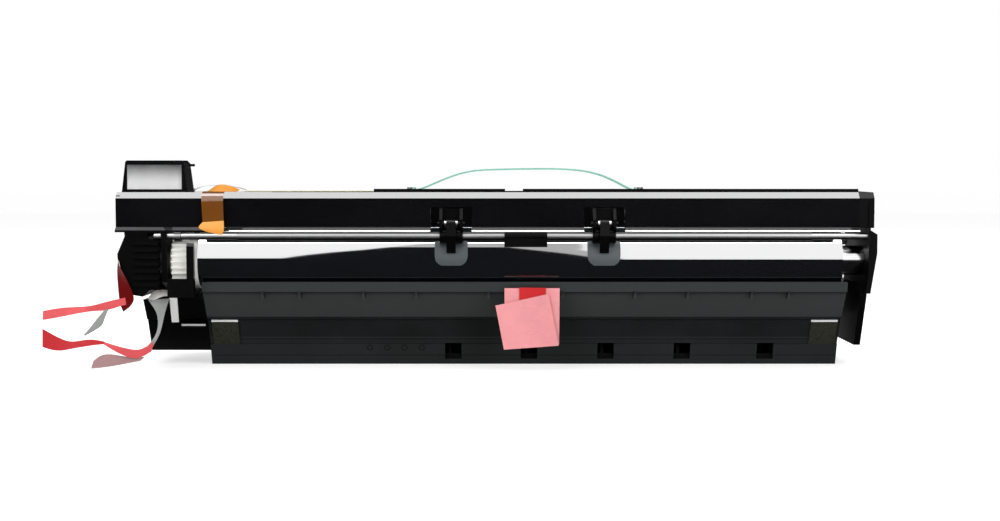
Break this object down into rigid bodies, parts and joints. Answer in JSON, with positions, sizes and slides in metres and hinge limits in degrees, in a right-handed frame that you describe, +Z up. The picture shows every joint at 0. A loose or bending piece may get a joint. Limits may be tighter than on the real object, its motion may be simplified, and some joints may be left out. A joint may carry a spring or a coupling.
{
  "type": "printer drum unit",
  "caption": "Long office-printer drum unit: glossy drum under a black case, developer housing below, gear train, sprung pawls, toner inlet, lift strap and shipping tapes.",
  "frame": {"origin": "middle of the flat underside that the unit stands on", "axes": "+X along the drum toward the end without the drive, +Y away from the paper side, +Z up"},
  "size_m": [0.4477, 0.0952, 0.1134],
  "materials": {
    "gloss_black": "glossy moulded black",
    "matt_black": "fine matt moulded black",
    "case_grey": "matt dark grey moulded",
    "drum_coating": "mirror-gloss dark coating on aluminium",
    "white_plastic": "white gear resin",
    "steel": "plated steel",
    "rod_black": "glossy black rod",
    "roller_rubber": "conductive rubber",
    "sleeve": "sandblasted sleeve",
    "auger_plastic": "black resin",
    "foam": "soft pad",
    "dark_foam": "thin dark pad",
    "seal_film": "thin springy film",
    "green_band": "green springy band",
    "label_paper": "pale blank sheet",
    "amber_film": "amber tape",
    "clear_film": "clear film",
    "pink_film": "pink shipping film",
    "red_film": "red shipping tape"
  },
  "bodies": {
    "housing": {"amber_tape": "amber_film", "blade_holder": "steel", "blade_screws": "steel", "case_screws": "steel", "caution_label": "label_paper", "charge_bearings": "white_plastic", "charge_cleaner": "foam", "charge_springs": "steel", "cleaning_blade": "roller_rubber", "clear_film": "clear_film", "developer_cover": "case_grey", "developer_tray": "case_grey", "doctor_blade": "steel", "doctor_screws": "steel", "drive_cover": "matt_black", "drum_bush": "white_plastic", "end_foam": "foam", "entrance_seal": "seal_film", "gear_cover": "matt_black", "guide_pads": "dark_foam", "left_plate": "matt_black", "lift_strap": "green_band", "lower_case": "case_grey", "pull_tape_lower": "pink_film", "pull_tape_upper": "pink_film", "right_plate": "gloss_black", "rod_clip": "matt_black", "side_tape": "red_film", "strap_screws": "steel", "supply_tube": "matt_black", "tag_front": "pink_film", "tag_rear": "pink_film", "tag_tape": "red_film", "toner_inlet": "gloss_black", "upper_case": "gloss_black"},
    "drum": {"drum_tube": "drum_coating", "drum_gear": "white_plastic", "drum_hub": "rod_black"},
    "charger": {"charge_roller": "roller_rubber", "charge_shaft": "steel"},
    "developer": {"developer_roller": "sleeve", "developer_gear": "white_plastic"},
    "front_mixer": {"front_auger": "auger_plastic", "front_auger_gear": "white_plastic", "front_link_gear": "white_plastic"},
    "rear_mixer": {"rear_auger": "auger_plastic", "rear_link_gear": "white_plastic"},
    "waste_mixer": {"waste_auger": "auger_plastic", "waste_gear": "white_plastic"},
    "pawl_carriage": {"pawl_shaft": "rod_black", "pawl_bracket_1": "matt_black", "pawl_bracket_2": "matt_black", "pawl_shield_1": "seal_film", "pawl_shield_2": "seal_film"},
    "left_pawl": {"pawl_1": "matt_black", "pawl_spring_1": "steel"},
    "right_pawl": {"pawl_2": "matt_black", "pawl_spring_2": "steel"},
    "shutter": {"inlet_shutter": "matt_black"}
  },
  "joints": [
    {"name": "drum_spin", "type": "hinge", "parent": "housing", "child": "drum", "pos_m": [0, -0.043, 0.059], "axis": [1, 0, 0], "continuous": true},
    {"name": "developer_spin", "type": "hinge", "parent": "housing", "child": "developer", "pos_m": [0, -0.0217, 0.04907], "axis": [1, 0, 0], "continuous": true},
    {"name": "front_auger_spin", "type": "hinge", "parent": "housing", "child": "front_mixer", "pos_m": [0, -0.00655, 0.03846], "axis": [1, 0, 0], "continuous": true},
    {"name": "rear_auger_spin", "type": "hinge", "parent": "housing", "child": "rear_mixer", "pos_m": [0, 0.01335, 0.03646], "axis": [1, 0, 0], "continuous": true},
    {"name": "waste_auger_spin", "type": "hinge", "parent": "housing", "child": "waste_mixer", "pos_m": [0, -0.04509, 0.08291], "axis": [1, 0, 0], "continuous": true},
    {"name": "charge_spin", "type": "hinge", "parent": "housing", "child": "charger", "pos_m": [0, -0.02455, 0.06965], "axis": [1, 0, 0], "continuous": true},
    {"name": "pawl_slide", "type": "slide", "parent": "housing", "child": "pawl_carriage", "axis": [1, 0, 0], "range_m": [-0.003, 0.003]},
    {"name": "left_pawl_pivot", "type": "hinge", "parent": "pawl_carriage", "child": "left_pawl", "pos_m": [-0.0235, -0.061, 0.0793], "axis": [-1, 0, 0], "range_deg": [0, 25], "stiffness_Nm_per_rad": 0.002, "springref_deg": -5.73},
    {"name": "right_pawl_pivot", "type": "hinge", "parent": "pawl_carriage", "child": "right_pawl", "pos_m": [0.0586, -0.061, 0.0793], "axis": [-1, 0, 0], "range_deg": [0, 25], "stiffness_Nm_per_rad": 0.002, "springref_deg": -5.73},
    {"name": "shutter_slide", "type": "slide", "parent": "housing", "child": "shutter", "axis": [1, 0, 0], "range_m": [0, 0.014]}
  ],
  "couplings": [
    {"joint": "developer_spin", "follows": "drum_spin", "ratio": -1.7647},
    {"joint": "front_auger_spin", "follows": "drum_spin", "ratio": 1.5},
    {"joint": "rear_auger_spin", "follows": "drum_spin", "ratio": -1.5},
    {"joint": "waste_auger_spin", "follows": "drum_spin", "ratio": -1.6667},
    {"joint": "charge_spin", "follows": "drum_spin", "ratio": -2.5}
  ]
}
